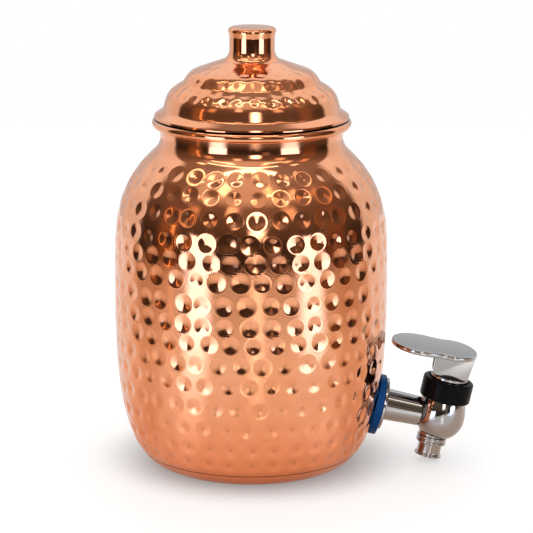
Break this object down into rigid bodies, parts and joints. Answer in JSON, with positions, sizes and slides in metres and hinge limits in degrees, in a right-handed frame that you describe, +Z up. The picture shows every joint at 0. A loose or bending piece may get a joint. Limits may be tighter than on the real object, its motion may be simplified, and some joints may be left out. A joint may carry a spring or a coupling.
{
  "type": "copper water dispenser",
  "caption": "Round hammered copper vessel with a lift-off stepped lid and a spring-closed press-lever tap for drawing water.",
  "frame": {"origin": "centre of the flat underside of the vessel, on the vessel's axis", "axes": "+Z up along the vessel's axis, +X out from the axis towards the tap, +Y completes the right-handed frame"},
  "size_m": [0.2344, 0.175, 0.2842],
  "materials": {
    "hammered_copper": "hammered and polished copper",
    "bright_copper": "polished copper",
    "chrome": "polished",
    "steel": "turned stainless",
    "blue_silicone": "satin",
    "clear_silicone": "satin",
    "black_plastic": "satin moulded",
    "black_rubber": "matt"
  },
  "bodies": {
    "root": {"vessel_shell": "hammered_copper", "base_plate": "hammered_copper", "rim_wire": "bright_copper", "outer_washer": "blue_silicone", "inner_washer": "clear_silicone", "backing_washer": "steel", "shank_nut": "steel", "shank": "chrome", "tap_body": "chrome", "spout_nozzle": "chrome", "bonnet": "chrome", "bonnet_ring": "black_rubber", "stem_ring": "black_rubber", "collar_nut": "black_plastic", "closing_spring": "steel"},
    "lid": {"lid_dome": "hammered_copper", "lid_collar": "bright_copper", "lid_knob": "bright_copper", "knob_screw": "steel", "knob_washer": "steel"},
    "seat": {"seat_cup": "clear_silicone", "spring_washer": "steel"},
    "stem": {"valve_stem": "steel"},
    "lever": {"lever": "chrome", "lever_pin": "steel"}
  },
  "joints": [
    {"name": "lid_lift", "type": "slide", "parent": "root", "child": "lid", "axis": [0, 0, 1], "range_m": [0, 0.12]},
    {"name": "valve_lift", "type": "slide", "parent": "root", "child": "seat", "axis": [0.2085, 0, 0.978], "range_m": [0, 0.0035], "deforming": ["closing_spring"]},
    {"name": "handle_swivel", "type": "hinge", "parent": "seat", "child": "stem", "pos_m": [0.12377, 0, 0.02964], "axis": [0.2085, 0, 0.978], "continuous": true},
    {"name": "lever_tilt", "type": "hinge", "parent": "stem", "child": "lever", "pos_m": [0.13083, 0, 0.06279], "axis": [0, -1, 0], "range_deg": [0, 25], "stiffness_Nm_per_rad": 0.032, "springref_deg": -28.65}
  ],
  "couplings": [
    {"joint": "valve_lift", "follows": "lever_tilt", "m_per_rad": 0.008}
  ]
}
